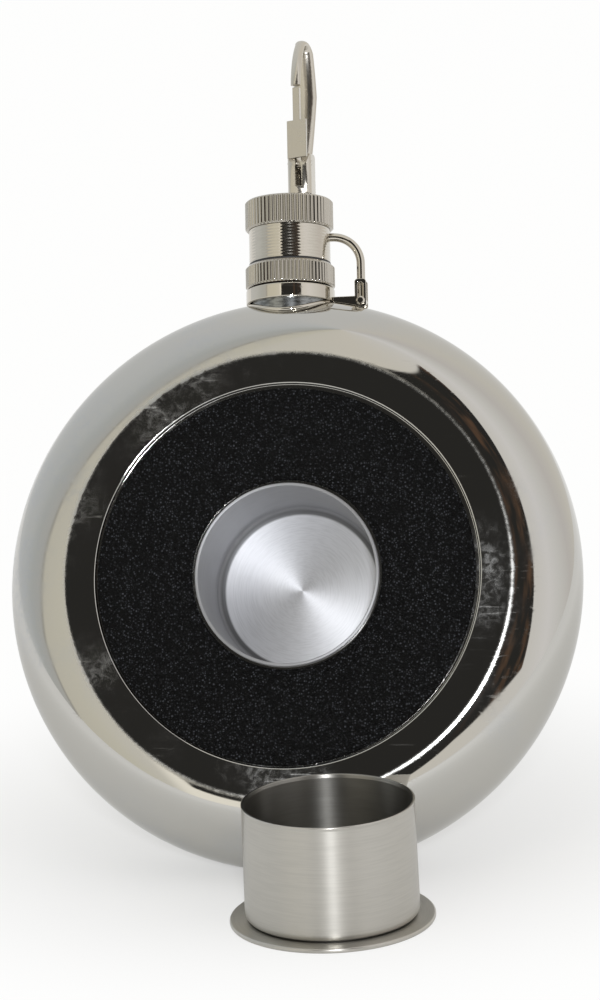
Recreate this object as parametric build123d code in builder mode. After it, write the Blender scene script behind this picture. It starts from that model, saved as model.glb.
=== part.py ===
import os
from math import cos, radians, sin, sqrt

from build123d import *

# A round steel pilgrim flask with a drinking cup that stows in a well in its face.
# Sizes are in millimetres. Every piece of the flask is drawn upright, with the middle of the
# body at the origin, +Z up the neck and -Y out of the front face, and is tipped back as it is
# written. The cup is drawn on the floor. After tipping, the origin is the middle of the back.

# Stance
lean_angle = 25.0             # the flask leans back on its round edge
roll_angle = 2.2              # and is rolled a little along it, so the neck points left
cup_right = 11.0              # the cup stands this far right of the flask's middle
cup_gap = 0.35                # and this far clear of the flask's edge
overrun = 1.0                 # how far cuts run past what they cut
running_gap = 0.05            # between pieces that turn or slide on each other

# Body shells
body_diameter = 108.0
body_thickness = 24.0
sheet = 0.8
recess_depth = 0.7
recess_margin = 0.6           # bare recess floor round the leather

# Leather ring
face_ring = 5.9               # the bare flat ring between the recess and the round edge
leather_thickness = 0.65
leather_shift_x = -0.2        # it was glued in a little low and to the left
leather_shift_z = -0.25
leather_hole_gap = 0.5

# Cup
cup_height = 22.6
cup_foot_radius = 15.95
cup_taper = 0.25              # it is this much smaller in radius at the mouth
cup_sheet = 0.5
cup_corner = 1.4
cup_bead = 0.15               # the rim is rolled out by this much
bead_height = 0.7
base_overhang = 2.8           # the base stands out this far all round
base_thickness = 0.9
base_edge_share = 0.4

# Well for the cup
well_gap = 0.7                # round the cup, at the well's mouth
well_taper = 0.55
well_sheet = 0.6
well_back_gap = 2.3           # room for the drink behind the well
well_corner = 1.6
lip_proud = 0.2
lip_edge_share = 0.33

# Neck and collar
bore_radius = 4.7
spout_wall = 0.6
spout_height = 4.4
neck_step = 2.3               # the neck below the spout is wider by this much
neck_depth = 4.5              # how far the neck reaches down inside the body
collar_wall = 0.8
collar_height = 2.75
collar_seat = 0.05
collar_edge = 0.25

# Slotted bracket and hinge pin of the captive arm
pin_radius = 0.5
pin_out = 5.1                 # from the collar's side out to the hinge pin
pin_rise = 1.18               # from the body's edge up to the hinge pin
cap_lift = 3.0                # how far the cap rises as it unscrews
ear_sheet = 0.6
ear_width = 2.2
ear_margin = 0.7              # metal left over the end of the slot
ear_corner = 0.6
leg_rise = 0.95               # the bracket's leg tops out this far above the pin
bridge_gap = 1.0              # between the arm's eye and the solid part of the leg
pin_head_radius = 0.85
pin_head_height = 0.3

# Captive arm and the sleeve that carries it
wire_diameter = 1.6
arm_inset = 1.6               # from the sleeve's top down to the wire's middle
arm_stub = 0.5                # straight wire between the sleeve and the bend
eye_gap = 0.13                # between the arm's eye and the body's edge
sleeve_wall = 0.45
sleeve_height = 6.4
groove_count = 10
groove_depth = 0.1

# Cap
cap_gap = 0.3                 # between the collar and the closed cap
cap_room = 1.3                # between the spout and the cap's bore, so that the cap swings clear
barrel_wall = 0.6
seal_gap = 0.05
seal_thickness = 1.2
web_thickness = 1.2
ring_height = 4.4
ring_wall = 1.25
ring_teeth = 68
ring_bevel = 0.55
washer_thickness = 0.4
washer_wall = 0.55
crown_height = 5.6
crown_wall = 1.15
crown_teeth = 60
crown_bevel = 0.35
crown_top = 1.2
knurl_depth = 0.28

# Snap hook on the cap
hook_height = 32.0
hook_width = 9.4
hook_offset = 2.65            # it stands this far to the right of the cap's axis
hook_thickness = 4.6          # of the block that the hook's bar rises from
block_corner = 1.5
hook_bar = 1.9
stem_width = 3.0              # the bar is flat: it widens up its back and narrows over its crest
spine_width = 4.6
shoulder_width = 3.6
nose_width = 1.9
nose_bar = 1.3
hook_turn = 5.0               # how far the hook is turned about its swivel
foot_height = 0.9
foot_radius = 2.8
swivel_gap = 0.08
rivet_radius = 0.9
rivet_head_radius = 1.8
rivet_head_height = 0.5

# Sprung gate of the hook
gate_bar = 1.4
gate_thickness = 1.4
gate_tail = 1.0
gate_boss_radius = 1.1
gate_pin_radius = 0.45
gate_top_gap = 0.35
gate_side_gap = 0.1
pad_width = 4.0
pad_height = 7.3
pad_drop = 2.2                # it hangs this far below the gate's bar, in front of the block
pad_thickness = 0.8
leaf_room = 0.5
leaf_sheet = 0.2
leaf_width = 0.8

# Radii and depths of the body that follow from the sizes
body_radius = body_diameter / 2
half = body_thickness / 2
inner_half = half - sheet
flat_radius = body_radius - half
recess_radius = flat_radius - face_ring
leather_radius = recess_radius - recess_margin
recess_floor = recess_depth - half
cup_mouth_radius = cup_foot_radius - cup_taper
base_radius = cup_foot_radius + base_overhang
well_mouth_radius = cup_foot_radius + well_gap
well_foot_radius = well_mouth_radius - well_taper
well_floor = inner_half - well_back_gap - well_sheet
lip_face = -half - lip_proud
lip_radius = well_mouth_radius + well_sheet

# Radii of the neck and the cap that follow from the sizes
spout_radius = bore_radius + spout_wall
neck_radius = spout_radius + neck_step
collar_radius = neck_radius + collar_wall
cap_bore_radius = spout_radius + cap_room
barrel_radius = cap_bore_radius + barrel_wall
ring_radius = barrel_radius + ring_wall
washer_radius = barrel_radius + washer_wall
sleeve_radius = barrel_radius + running_gap + sleeve_wall
crown_radius = barrel_radius + crown_wall

# The captive arm's places that follow from the sizes
pin_reach = collar_radius + pin_out
pin_z = sqrt(body_radius**2 - pin_reach**2) + pin_rise
eye_radius = pin_rise - eye_gap
arm_bend = pin_reach - sleeve_radius - arm_stub
fork_gap = wire_diameter + 2 * running_gap
ear_span = fork_gap + 2 * ear_sheet

# Heights up the neck that follow from the sizes
neck_seat = sqrt(body_radius**2 - neck_radius**2)
collar_bottom = neck_seat + collar_seat
collar_top = collar_bottom + collar_height
spout_top = collar_top + spout_height
ring_bottom = collar_top + cap_gap
ring_top = ring_bottom + ring_height
sleeve_bottom = ring_top + washer_thickness + running_gap
sleeve_top = sleeve_bottom + sleeve_height
arm_z = sleeve_top - arm_inset
crown_bottom = sleeve_top + running_gap
crown_face = crown_bottom + crown_height
seal_bottom = spout_top + seal_gap
web_bottom = seal_bottom + seal_thickness
barrel_top = crown_face - crown_top
foot_bottom = crown_face + swivel_gap
foot_top = foot_bottom + foot_height

# Where the flask and the cup stand
lean = radians(lean_angle)
back_to_origin = Location((0, -half, 0))
tipped = Location((0, 0, 0), (-lean_angle, 0, 0)) * Location((0, 0, 0), (0, -roll_angle, 0)) * back_to_origin
floor_z = half * sin(lean) - flat_radius * cos(lean) - half
edge_y = -half * cos(lean) - sqrt(flat_radius**2 - cup_right**2) * sin(lean) - half
cup_place = Location((cup_right, edge_y - cup_gap - cup_foot_radius, floor_z))


def write(piece, name, place=tipped):
    """Write one finished piece to its own file, where it stands."""
    solid = piece.part.moved(place)
    solid.label = name
    export_step(solid, f"parts/{name}.step")


def turned(low, high, radius, mode=Mode.ADD):
    """Add or cut a plain cylinder about the neck's axis, between two heights."""
    with BuildSketch(Plane.XY.offset(low)) as disc:
        Circle(radius)
    extrude(disc.sketch, amount=high - low, mode=mode)


def across(circle_radius, x, z, reach, mode=Mode.ADD):
    """Add or cut a cylinder that runs front to back through (x, z), reaching both ways."""
    with BuildSketch(Plane.XZ) as disc:
        with Locations((x, z)):
            Circle(circle_radius)
    extrude(disc.sketch, amount=reach, both=True, mode=mode)


def round_corner(sketch, x, y, radius):
    """Round the corner of a sketch that lies nearest to (x, y) in its own plane."""
    fillet(sketch.vertices().sort_by_distance((x, y))[0], radius=radius)


def bevelled_rim(radius, level, bevel, side):
    """Cut a bevel off the edge at a level. side is 1 at a lower rim and -1 at an upper one."""
    with BuildSketch(Plane.XZ) as corner:
        with BuildLine():
            Polyline(
                (radius - bevel, level),
                (radius + bevel, level),
                (radius + bevel, level + 2 * side * bevel),
                close=True,
            )
        make_face()
    revolve(corner.sketch, axis=Axis.Z, mode=Mode.SUBTRACT)


def knurled_disc(radius, teeth, low, high, low_bevel, high_bevel):
    """Add a disc with straight V knurling round it and a bevel at both rims."""
    with BuildSketch(Plane.XY.offset(low)) as toothed:
        Circle(radius)
        with PolarLocations(radius, teeth):
            RegularPolygon(knurl_depth, 4, mode=Mode.SUBTRACT)
    extrude(toothed.sketch, amount=high - low)
    bevelled_rim(radius, low, low_bevel, 1)
    bevelled_rim(radius, high, high_bevel, -1)


def rolled_edge(radius, side):
    """Draw the quarter round from the flat of one face, on that side, to the middle of the edge."""
    share = sqrt(0.5)
    ThreePointArc(
        (flat_radius, side * radius),
        (flat_radius + radius * share, side * radius * share),
        (flat_radius + radius, 0),
    )


# Front shell: a recess for the leather, a flat ring and a full-round edge, in radius and depth
os.makedirs("parts", exist_ok=True)
with BuildPart() as front_shell:
    with BuildSketch(Plane.XY):
        with BuildLine():
            Polyline(
                (flat_radius, -inner_half),
                (recess_radius + sheet, -inner_half),
                (recess_radius + sheet, recess_floor + sheet),
                (lip_radius, recess_floor + sheet),
                (lip_radius, recess_floor),
                (recess_radius, recess_floor),
                (recess_radius, -half),
                (flat_radius, -half),
            )
            rolled_edge(half, -1)
            Line((body_radius, 0), (body_radius - sheet, 0))
            rolled_edge(inner_half, -1)
        make_face()
    revolve(axis=Axis.Y)
    turned(flat_radius, body_radius + overrun, neck_radius, Mode.SUBTRACT)
write(front_shell, "front_shell")

# Back shell: plain and flat, with the same edge
with BuildPart() as back_shell:
    with BuildSketch(Plane.XY):
        with BuildLine():
            Polyline((flat_radius, inner_half), (0, inner_half), (0, half), (flat_radius, half))
            rolled_edge(half, 1)
            Line((body_radius, 0), (body_radius - sheet, 0))
            rolled_edge(inner_half, 1)
        make_face()
    revolve(axis=Axis.Y)
    turned(flat_radius, body_radius + overrun, neck_radius, Mode.SUBTRACT)
write(back_shell, "back_shell")

# Well: a drawn pot, slightly tapered, with a rounded corner and a bright lip
with BuildPart() as cup_well:
    with BuildSketch(Plane.XY) as well_outline:
        with BuildLine():
            Polyline(
                (0, well_floor),
                (well_foot_radius, well_floor),
                (well_mouth_radius, lip_face),
                (lip_radius, lip_face),
                (lip_radius, recess_floor + sheet),
                (well_foot_radius + well_sheet, well_floor + well_sheet),
                (0, well_floor + well_sheet),
                close=True,
            )
        make_face()
        round_corner(well_outline, well_foot_radius, well_floor, well_corner)
        round_corner(
            well_outline,
            well_foot_radius + well_sheet,
            well_floor + well_sheet,
            well_corner + well_sheet,
        )
        round_corner(well_outline, well_mouth_radius, lip_face, lip_edge_share * well_sheet)
        round_corner(well_outline, lip_radius, lip_face, lip_edge_share * well_sheet)
    revolve(axis=Axis.Y)
write(cup_well, "cup_well")

# Leather: a flat ring in the recess, a little off the middle of it
with BuildPart() as leather_ring:
    with BuildSketch(Plane.XZ.offset(-recess_floor)):
        with Locations((leather_shift_x, leather_shift_z)):
            Circle(leather_radius)
        Circle(lip_radius + leather_hole_gap, mode=Mode.SUBTRACT)
    extrude(amount=leather_thickness)
write(leather_ring, "leather_ring")

# Neck: a turned tube through the body's edge, stepped down to the spout
with BuildPart() as neck_tube:
    turned(body_radius - neck_depth, collar_top, neck_radius)
    turned(collar_top, spout_top, spout_radius)
    turned(body_radius - neck_depth, spout_top, bore_radius, Mode.SUBTRACT)
write(neck_tube, "neck_tube")

# Collar: a smooth ring round the neck, its edges eased
with BuildPart() as neck_collar:
    turned(collar_bottom, collar_top, collar_radius)
    fillet(neck_collar.edges().filter_by(GeomType.CIRCLE), radius=collar_edge)
    turned(collar_bottom, collar_top, neck_radius, Mode.SUBTRACT)
write(neck_collar, "neck_collar")

# Bracket: an L-shaped fork on the collar's side, whose two ears are slotted for the hinge pin
leg_top = pin_z + leg_rise
leg_start = collar_radius - ear_width
ear_left = pin_reach - ear_width / 2
ear_right = pin_reach + ear_width / 2
ear_top = pin_z + cap_lift + pin_radius + running_gap + ear_margin
bridge_end = pin_reach - eye_radius - bridge_gap
with BuildPart() as arm_bracket:
    with BuildSketch(Plane.XZ) as ear_outline:
        with BuildLine():
            Polyline(
                (leg_start, flat_radius),
                (ear_right, flat_radius),
                (ear_right, ear_top),
                (ear_left, ear_top),
                (ear_left, leg_top),
                (leg_start, leg_top),
                close=True,
            )
        make_face()
        Circle(body_radius + collar_seat, mode=Mode.SUBTRACT)
        round_corner(ear_outline, ear_right, sqrt(body_radius**2 - ear_right**2), ear_corner)
        round_corner(ear_outline, ear_right, ear_top, ear_corner)
        round_corner(ear_outline, ear_left, ear_top, ear_corner)
    extrude(amount=ear_span / 2, both=True)
    with BuildSketch(Plane.XZ):
        with Locations((bridge_end, flat_radius)):
            Rectangle(body_radius, body_radius, align=(Align.MIN, Align.MIN))
    extrude(amount=fork_gap / 2, both=True, mode=Mode.SUBTRACT)
    with BuildSketch(Plane.XZ):
        with Locations((pin_reach, pin_z + cap_lift / 2)):
            SlotCenterToCenter(cap_lift, 2 * (pin_radius + running_gap), rotation=90)
    extrude(amount=ear_span, both=True, mode=Mode.SUBTRACT)
    turned(collar_bottom - overrun, ear_top, collar_radius, Mode.SUBTRACT)
write(arm_bracket, "arm_bracket")

# Hinge pin: headed at both ends, and free to slide up the slots
with BuildPart() as hinge_pin:
    head_face = ear_span / 2 + running_gap
    across(pin_radius, pin_reach, pin_z, head_face)
    for side in (1, -1):
        with BuildSketch(Plane.XZ.offset(side * head_face)):
            with Locations((pin_reach, pin_z)):
                Circle(pin_head_radius)
        extrude(amount=side * pin_head_height)
write(hinge_pin, "hinge_pin")

# Arm: a wire bent from the sleeve round and down to an eye on the hinge pin
with BuildPart() as captive_arm:
    with BuildLine(Plane.XZ) as arm_route:
        down = Line((pin_reach, pin_z), (pin_reach, arm_z - arm_bend))
        RadiusArc(down @ 1, (pin_reach - arm_bend, arm_z), -arm_bend)
        Line((pin_reach - arm_bend, arm_z), (barrel_radius, arm_z))
    with BuildSketch(Plane.XY.offset(pin_z)):
        with Locations((pin_reach, 0)):
            Circle(wire_diameter / 2)
    sweep(path=arm_route.line)
    across(eye_radius, pin_reach, pin_z, fork_gap / 2 - running_gap)
    across(pin_radius + running_gap, pin_reach, pin_z, fork_gap, Mode.SUBTRACT)
    turned(sleeve_bottom, sleeve_top, sleeve_radius, Mode.SUBTRACT)
write(captive_arm, "captive_arm")

# Sleeve: a thin turned ring with fine grooves, free to turn on the cap's barrel
groove_pitch = sleeve_height / (groove_count + 1)
with BuildPart() as swivel_sleeve:
    turned(sleeve_bottom, sleeve_top, sleeve_radius)
    with BuildSketch(Plane.XZ):
        for groove in range(groove_count):
            with Locations((sleeve_radius, sleeve_bottom + (groove + 1) * groove_pitch)):
                RegularPolygon(groove_depth, 4)
    revolve(axis=Axis.Z, mode=Mode.SUBTRACT)
    turned(sleeve_bottom, sleeve_top, barrel_radius + running_gap, Mode.SUBTRACT)
write(swivel_sleeve, "swivel_sleeve")

# Cap barrel: bored from below for the spout and from above for lightness, with a web between
with BuildPart() as cap_barrel:
    turned(ring_bottom, barrel_top, barrel_radius)
    turned(ring_bottom, web_bottom, cap_bore_radius, Mode.SUBTRACT)
    turned(web_bottom + web_thickness, barrel_top, cap_bore_radius, Mode.SUBTRACT)
write(cap_barrel, "cap_barrel")

# Lower ring: knurled, pressed on the barrel's foot
with BuildPart() as cap_lower_ring:
    knurled_disc(ring_radius, ring_teeth, ring_bottom, ring_top, crown_bevel, ring_bevel)
    turned(ring_bottom, ring_top, barrel_radius, Mode.SUBTRACT)
write(cap_lower_ring, "cap_lower_ring")

# Crown: the knurled top of the cap, closed above and drilled for the hook's swivel rivet
with BuildPart() as cap_crown:
    knurled_disc(crown_radius, crown_teeth, crown_bottom, crown_face, crown_bevel, crown_bevel)
    turned(crown_bottom, barrel_top, barrel_radius, Mode.SUBTRACT)
    turned(barrel_top, crown_face, rivet_radius + running_gap, Mode.SUBTRACT)
write(cap_crown, "cap_crown")

# Seal: a disc in the cap's bore, over the spout
with BuildPart() as seal_disc:
    turned(seal_bottom, web_bottom, cap_bore_radius)
write(seal_disc, "seal_disc")

# Washer: a thin black bearing ring that the sleeve turns on
with BuildPart() as sleeve_washer:
    turned(ring_top, ring_top + washer_thickness, washer_radius)
    turned(ring_top, ring_top + washer_thickness, barrel_radius, Mode.SUBTRACT)
write(sleeve_washer, "sleeve_washer")

# Rivet: fixed in the hook's foot, its head turns under the crown's top so that the hook swivels
head_top = barrel_top - swivel_gap
with BuildPart() as hook_rivet:
    turned(head_top, foot_top, rivet_radius)
    turned(head_top - rivet_head_height, head_top, rivet_head_radius)
write(hook_rivet, "hook_rivet")

# The hook is drawn in its own plane: across from the spine to the gate, and up from the cap's face
turn = radians(hook_turn)
hook_plane = Plane(
    origin=(hook_offset, 0, crown_face),
    x_dir=(-sin(turn), -cos(turn), 0),
    z_dir=(-cos(turn), sin(turn), 0),
)
half_width = hook_width / 2
spine_start_share = (-0.26, 0.22)
spine_start_turn = 106
spine_waist_share = 0.66
shoulder_share = (-0.72, 0.925)
crest_share = (-0.08, 0.958)
nose_share = 0.68
block_shares = [(0.72, 0.2), (0.56, 0.27), (-0.1, 0.28), (-0.52, 0.23)]
block_foot_shares = (-0.52, 0.66)
pivot_share = (0.4, 0.22)
slot_low_share = 0.075
gate_foot_share = 0.31


def hook_point(shares):
    """A point in the hook's plane, from shares of its half width and its height."""
    return (shares[0] * half_width, shares[1] * hook_height)


pivot = hook_point(pivot_share)
slot_back = pivot[0] - gate_boss_radius - leaf_room
slot_low = slot_low_share * hook_height
nose_end = (half_width - nose_bar / 2, nose_share * hook_height)
gate_top = nose_end[1] - gate_top_gap
gate_low = gate_foot_share * hook_height
gate_inner = nose_end[0] - gate_bar / 2
slot_width = gate_tail + 2 * gate_side_gap
block_foot = [(share * half_width, foot_top - crown_face) for share in block_foot_shares]
block_outline = block_foot + [hook_point(shares) for shares in block_shares]


def hook_bore(radius, mode):
    """Add or cut a cylinder through the hook along its gate's pivot."""
    with BuildSketch(hook_plane) as disc:
        with Locations(pivot):
            Circle(radius)
    extrude(disc.sketch, amount=hook_thickness / 2, both=True, mode=mode)


# Hook body: a flat oval bar bent over from a slotted block, on a foot that turns on the rivet
block_back, block_front = block_outline[-1][0], block_outline[2][0]
block_plane = Plane(hook_plane.origin, x_dir=hook_plane.x_dir, z_dir=hook_plane.y_dir)
with BuildPart() as hook_body:
    with BuildSketch(hook_plane):
        Polygon(*block_outline, align=None)
    extrude(amount=hook_thickness / 2, both=True)
    with BuildSketch(block_plane):
        with Locations(((block_back + block_front) / 2, 0)):
            RectangleRounded(block_front - block_back, hook_thickness, block_corner)
    extrude(amount=hook_height, mode=Mode.INTERSECT)
    with BuildLine(hook_plane) as hook_route:
        spine_waist = (-half_width + hook_bar / 2, spine_waist_share * hook_height)
        start_turn = radians(spine_start_turn)
        spine = TangentArc(
            hook_point(spine_start_share),
            spine_waist,
            tangent=hook_plane.x_dir * cos(start_turn) + hook_plane.y_dir * sin(start_turn),
        )
        shoulder = TangentArc(spine @ 1, hook_point(shoulder_share), tangent=spine % 1)
        crest = TangentArc(shoulder @ 1, hook_point(crest_share), tangent=shoulder % 1)
        nose = TangentArc(crest @ 1, nose_end, tangent=crest % 1)
    bar_ends = [
        (spine, stem_width, spine_width, hook_bar, hook_bar),
        (shoulder, spine_width, shoulder_width, hook_bar, hook_bar),
        (crest, shoulder_width, nose_width, hook_bar, nose_bar),
        (nose, nose_width, nose_width, nose_bar, nose_bar),
    ]
    for arc, low_width, high_width, low_bar, high_bar in bar_ends:
        for share, width, bar in ((0, low_width, low_bar), (1, high_width, high_bar)):
            with BuildSketch(Plane(arc @ share, x_dir=hook_plane.z_dir, z_dir=arc % share)):
                Ellipse(width / 2, bar / 2)
        sweep(path=arc, multisection=True)
    with BuildSketch(hook_plane):
        with Locations((slot_back, slot_low)):
            Rectangle(hook_width, gate_low, align=(Align.MIN, Align.MIN))
    extrude(amount=slot_width / 2, both=True, mode=Mode.SUBTRACT)
    hook_bore(gate_pin_radius, Mode.SUBTRACT)
    with BuildSketch(Plane.XY.offset(foot_bottom)):
        Circle(foot_radius)
        with Locations((hook_offset, 0)):
            Rectangle(hook_thickness, hook_width / 2, rotation=-hook_turn)
        make_hull()
    extrude(amount=foot_height)
    turned(foot_bottom, foot_top, rivet_radius, Mode.SUBTRACT)
write(hook_body, "hook_body")

# Gate: a tail in the block's slot, a bar up to the nose and a pad for the thumb
with BuildPart() as hook_gate:
    with BuildSketch(hook_plane):
        with BuildLine():
            Polyline(
                (pivot[0] - gate_tail / 2, pivot[1]),
                (pivot[0] + gate_tail, pivot[1]),
                (gate_inner + gate_bar, gate_low),
                (gate_inner, gate_low),
                close=True,
            )
        make_face()
        with Locations(pivot):
            Circle(gate_boss_radius)
    extrude(amount=gate_tail / 2, both=True)
    with BuildSketch(hook_plane):
        with Locations((gate_inner, gate_low)):
            Rectangle(gate_bar, gate_top - gate_low, align=(Align.MIN, Align.MIN))
    extrude(amount=gate_thickness / 2, both=True)
    with BuildSketch(hook_plane):
        with Locations((gate_inner + gate_bar - pad_thickness, gate_low - pad_drop)):
            Rectangle(pad_thickness, pad_height, align=(Align.MIN, Align.MIN))
    extrude(amount=pad_width / 2, both=True)
    hook_bore(gate_pin_radius + running_gap, Mode.SUBTRACT)
write(hook_gate, "hook_gate")

# Gate pin: pressed through both cheeks of the block
with BuildPart() as gate_pin:
    hook_bore(gate_pin_radius, Mode.ADD)
write(gate_pin, "gate_pin")

# Gate spring: a bent leaf in the slot that pushes the gate out against the nose
with BuildPart() as gate_spring:
    leaf_x = slot_back + leaf_sheet
    with BuildSketch(hook_plane):
        with BuildLine():
            Polyline(
                (leaf_x, slot_low + leaf_sheet),
                (leaf_x, pivot[1] + gate_boss_radius),
                (gate_inner - leaf_sheet, gate_low + gate_bar),
            )
        trace(line_width=leaf_sheet)
    extrude(amount=leaf_width / 2, both=True)
write(gate_spring, "gate_spring")

# Cup: thin straight sides that widen slightly to a rounded foot, and a rolled rim
with BuildPart() as cup_body:
    with BuildSketch(Plane.XZ) as cup_outline:
        with BuildLine():
            Polyline(
                (0, base_thickness),
                (cup_foot_radius, base_thickness),
                (cup_mouth_radius, cup_height - bead_height),
                (cup_mouth_radius + cup_bead, cup_height),
                (cup_mouth_radius + cup_bead - cup_sheet, cup_height),
                (cup_mouth_radius - cup_sheet, cup_height - bead_height),
                (cup_foot_radius - cup_sheet, base_thickness + cup_sheet),
                (0, base_thickness + cup_sheet),
                close=True,
            )
        make_face()
        round_corner(cup_outline, cup_foot_radius, base_thickness, cup_corner)
        round_corner(
            cup_outline,
            cup_foot_radius - cup_sheet,
            base_thickness + cup_sheet,
            cup_corner - cup_sheet,
        )
    revolve(axis=Axis.Z)
write(cup_body, "cup_body", cup_place)

# Cup base: a round disc wider than the cup, to stand on and to pull the cup out by
with BuildPart() as cup_base:
    turned(0, base_thickness, base_radius)
    fillet(cup_base.edges().filter_by(GeomType.CIRCLE), radius=base_edge_share * base_thickness)
write(cup_base, "cup_base", cup_place)
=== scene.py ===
"""Looks for a round steel pilgrim flask that leans back on its edge, with its drinking cup in front.

Shapes are worked out in millimetres. Those of the flask are upright, with the middle of the body
at the origin, +Z up the neck and -Y out of the front face, and tip() leans them back as built.
Those of the cup stand on the floor, and stand() puts them in their place.
"""

from math import atan, cos, pi, radians, sin

import bmesh
import bpy
import numpy as np
from mathutils import Matrix


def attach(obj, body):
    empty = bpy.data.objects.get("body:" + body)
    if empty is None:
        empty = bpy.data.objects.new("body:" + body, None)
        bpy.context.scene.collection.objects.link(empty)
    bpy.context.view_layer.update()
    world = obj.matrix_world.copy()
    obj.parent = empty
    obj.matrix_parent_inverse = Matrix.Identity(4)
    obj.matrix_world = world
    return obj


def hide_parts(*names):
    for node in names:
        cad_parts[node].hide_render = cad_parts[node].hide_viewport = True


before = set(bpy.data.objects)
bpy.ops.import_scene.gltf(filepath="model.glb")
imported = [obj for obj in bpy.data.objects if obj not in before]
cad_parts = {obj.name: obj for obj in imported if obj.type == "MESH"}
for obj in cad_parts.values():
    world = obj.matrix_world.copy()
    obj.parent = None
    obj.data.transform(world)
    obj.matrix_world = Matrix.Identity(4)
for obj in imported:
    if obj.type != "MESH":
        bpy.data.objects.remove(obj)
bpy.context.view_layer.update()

# Stance
lean = radians(25.0)
roll = radians(2.2)
cup_place = np.array((11.0, -56.306, -44.9935))

# Sizes of the body
body_radius = 54.0
half = 12.0
sheet = 0.8
flat_radius = body_radius - half
crease, crease_round = radians(11.0), 2.5
crease_radius = flat_radius - 0.25
crease_rows, rim_rows = 7, 27
crease_handle, widest_handle = 6.2, 7.1  # handles of the rim's curve at its two ends
recess_radius = 36.1
recess_depth, leather_thick, lip_rise = 0.7, 0.65, 0.2
recess_floor = recess_depth - half
leather_radius = 35.5
leather_face = recess_floor - leather_thick
leather_shift = np.array((-0.2, 0.0, -0.25))
lip_face = -half - lip_rise
lip_radius = 17.25
leather_hole = 17.75
well_mouth, well_foot, well_floor, well_sheet = 16.65, 16.1, 8.3, 0.6

# Sizes of the neck, the cap and the arm
spout_radius, neck_radius, bore_radius, collar_radius = 5.3, 7.6, 4.7, 8.4
neck_low = 49.5
collar_low, collar_top = 53.5126, 56.2626
spout_top = 60.6626
barrel_radius, cap_bore = 7.2, 6.6
thread_rise, thread_pitch = 0.42, 1.5
ring_radius, ring_low, ring_top = 8.45, 56.5626, 60.9626
sleeve_radius, sleeve_bore, sleeve_low, sleeve_top = 7.7, 7.25, 61.4126, 67.8126
sleeve_rings, sleeve_ring_depth = 11, 0.01
washer_radius, washer_top = 7.75, ring_top + 0.4
crown_radius, crown_bore, crown_low, crown_face = 8.35, 0.95, 67.8626, 73.4626
barrel_top = 72.2626
rivet_low, rivet_side, rivet_head_top, rivet_top = 71.6825, 71.88, 72.1825, 74.4425
rivet_face, rivet_head, rivet_shank = 1.5, 1.8, 0.9
seal_low, web_low, web_top = 60.7126, 61.9126, 63.1126
seal_groove, groove_inner, groove_outer = 0.12, 4.2, 5.8
pin_x, pin_z = 13.5, 53.4653
pin_half, pin_radius, pin_head, pin_dome = 1.5, 0.5, 0.85, 0.4
eye_half, eye_bore, eye_radius = 0.8, 0.55, 1.05
wire_radius, arm_bend, arm_z, wire_low = 0.8, 5.3, 66.2126, pin_z + 0.85

# Sizes of the cup
cup_sheet, cup_top, cup_rim_low = 0.5, 22.6, 21.9
cup_low_radius, cup_high_radius, cup_lip_radius = 15.95, 15.7, 15.85
foot_radius, foot_thick = 18.75, 0.9

cos_lean, sin_lean, cos_roll, sin_roll = cos(lean), sin(lean), cos(roll), sin(roll)
lean_turn = np.array(((1, 0, 0), (0, cos_lean, sin_lean), (0, -sin_lean, cos_lean)))
roll_turn = np.array(((cos_roll, 0, -sin_roll), (0, 1, 0), (sin_roll, 0, cos_roll)))
tip_turn = lean_turn @ roll_turn


def tip(points):
    """Points of the upright flask from the back's middle, rolled and leant back."""
    return (points - np.array((0, half, 0))) @ tip_turn.T


def tip_way(ways):
    """Directions on the upright flask, rolled and leant back."""
    return ways @ tip_turn.T


def stand(points):
    """Points of the cup, moved from the origin to where it stands."""
    return points + cup_place


def keep(ways):
    """Directions on the cup, as they are."""
    return ways


hook_turn = radians(5.0)
hook_front = tip_way(np.array((-sin(hook_turn), -cos(hook_turn), 0.0)))
hook_left = tip_way(np.array((-cos(hook_turn), sin(hook_turn), 0.0)))
on_flask = (tip, tip_way)
on_floor = (stand, keep)


def unit(rows):
    """Each row divided by its length."""
    return rows / np.maximum(np.linalg.norm(rows, axis=-1, keepdims=True), 1e-12)


def rounded(corners, closed=False, steps=6):
    """A profile through corners given as (x, y, rounding), and its outward side, on the right hand.

    At each corner the direction turns in equal steps from that of the side before to that of the
    side after, and the point stays on the circle that touches both sides.
    """
    table = np.asarray(corners, float)
    p, radius = table[:, :2], table[:, 2]
    before, after = np.roll(p, 1, 0), np.roll(p, -1, 0)
    if not closed:
        before[0] = 2 * p[0] - p[1]
        after[-1] = 2 * p[-1] - p[-2]
    coming, going = unit(p - before), unit(after - p)
    turn = np.arctan2(
        coming[:, 0] * going[:, 1] - coming[:, 1] * going[:, 0], (coming * going).sum(1)
    )
    angle = turn[:, None] * np.linspace(0, 1, steps)
    c, s = np.cos(angle), np.sin(angle)
    nx, ny = coming[:, 1, None], -coming[:, 0, None]
    ways = np.stack((c * nx - s * ny, s * nx + c * ny), -1)
    signed = (np.sign(turn) * radius)[:, None, None]
    start = p - coming * (radius * np.tan(np.abs(turn) / 2))[:, None]
    places = start[:, None] + (ways - ways[:, :1]) * signed
    places, ways = places.reshape(-1, 2), ways.reshape(-1, 2)
    fresh = np.r_[True, np.abs(np.diff(np.hstack((places, ways)), axis=0)).max(1) > 1e-7]
    return places[fresh], ways[fresh]


def grid_ways(grid, wrap_rows=False):
    """Outward directions of a grid: the slope across its columns crossed with that along its rows.

    The columns go all the way round. The rows do so only where they are wrapped.
    """
    across = np.roll(grid, -1, 1) - np.roll(grid, 1, 1)
    along = np.roll(grid, -1, 0) - np.roll(grid, 1, 0) if wrap_rows else np.gradient(grid, axis=0)
    return unit(np.cross(across, along))


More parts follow.
